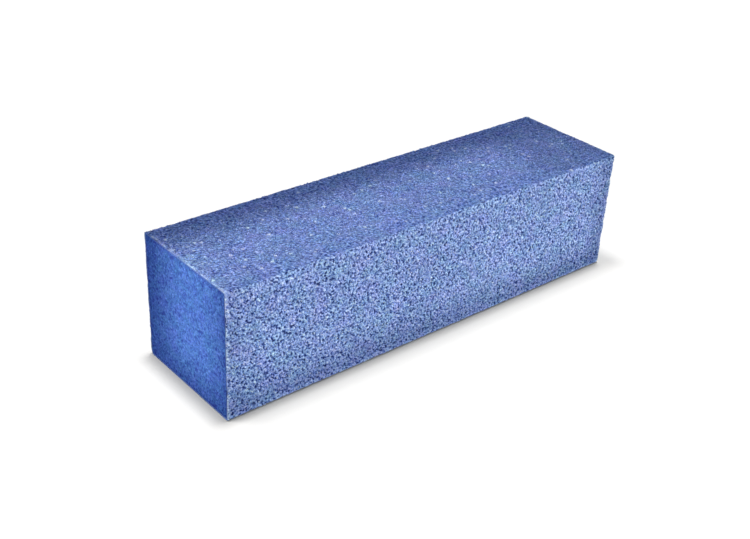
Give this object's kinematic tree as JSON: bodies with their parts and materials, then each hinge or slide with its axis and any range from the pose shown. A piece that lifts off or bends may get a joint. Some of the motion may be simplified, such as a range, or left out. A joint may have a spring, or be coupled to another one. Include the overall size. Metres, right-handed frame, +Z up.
{
  "type": "nail buffer block",
  "caption": "Hand-held nail buffer: a square-section foam bar with an abrasive coat on its long faces, coarse at front and back and fine at top and bottom; bare foam ends.",
  "frame": {"origin": "middle of the flat face that the block rests on", "axes": "+Z up, X along the block's length, Y across it, with the front coarse face towards -Y"},
  "size_m": [0.0952, 0.0254, 0.0254],
  "materials": {
    "foam": "matte fine-celled foam, cobalt blue",
    "resin": "cured blue binder, satin",
    "fine_grit": "fine abrasive grains in blue binder, matte with glints",
    "coarse_grit": "coarse abrasive grains in blue binder, rough and pitted, with glints"
  },
  "bodies": {
    "root": {"foam_core": "foam", "top_make_coat": "resin", "top_grit": "fine_grit", "front_make_coat": "resin", "front_grit": "coarse_grit", "bottom_make_coat": "resin", "bottom_grit": "fine_grit", "back_make_coat": "resin", "back_grit": "coarse_grit"}
  },
  "joints": []
}
